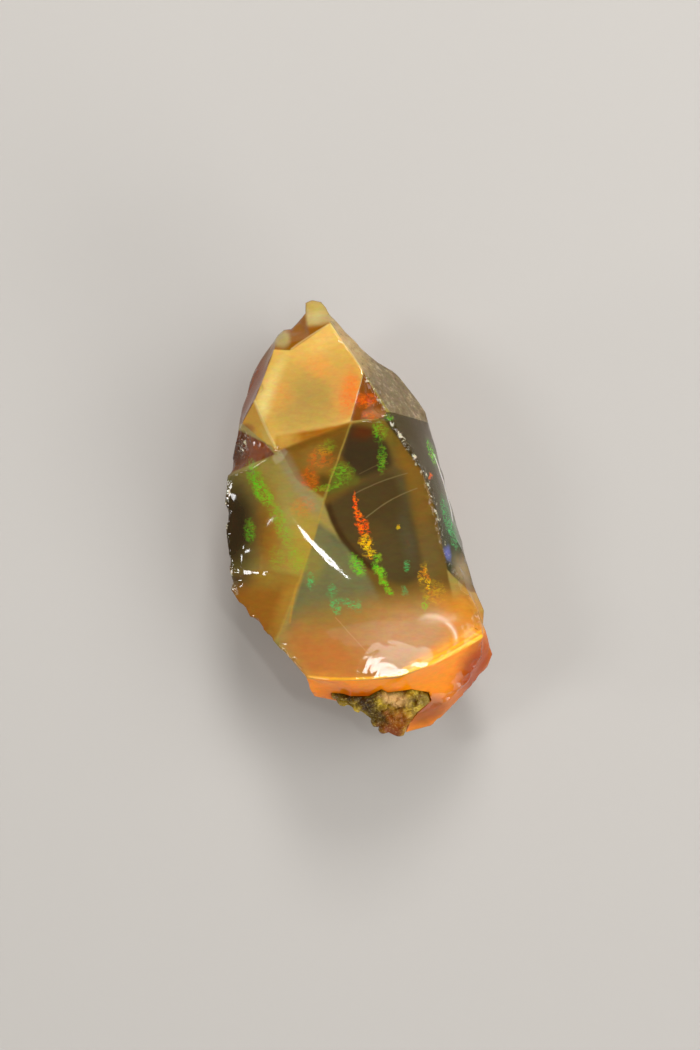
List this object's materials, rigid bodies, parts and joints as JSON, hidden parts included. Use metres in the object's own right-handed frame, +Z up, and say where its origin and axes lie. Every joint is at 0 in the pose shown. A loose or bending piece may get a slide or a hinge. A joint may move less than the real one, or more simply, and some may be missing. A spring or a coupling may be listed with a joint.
{
  "type": "rough opal",
  "caption": "Rough opal lying on its back: a translucent amber stone with dished glassy fracture faces, a frosted skin and a gritty remnant of host rock at its foot.",
  "frame": {"origin": "centre of the footprint, on the surface that the stone lies on", "axes": "+X to the right and +Y towards the pointed tip as the broad front is seen from above, +Z up out of the front"},
  "size_m": [0.0296, 0.0484, 0.0174],
  "materials": {
    "opal": "translucent amber, honey and olive opal with a glassy conchoidal surface and patches of fire",
    "host_rock": "matte, gritty olive-brown rock"
  },
  "bodies": {
    "root": {"opal": "opal", "host_rock": "host_rock"}
  },
  "joints": []
}
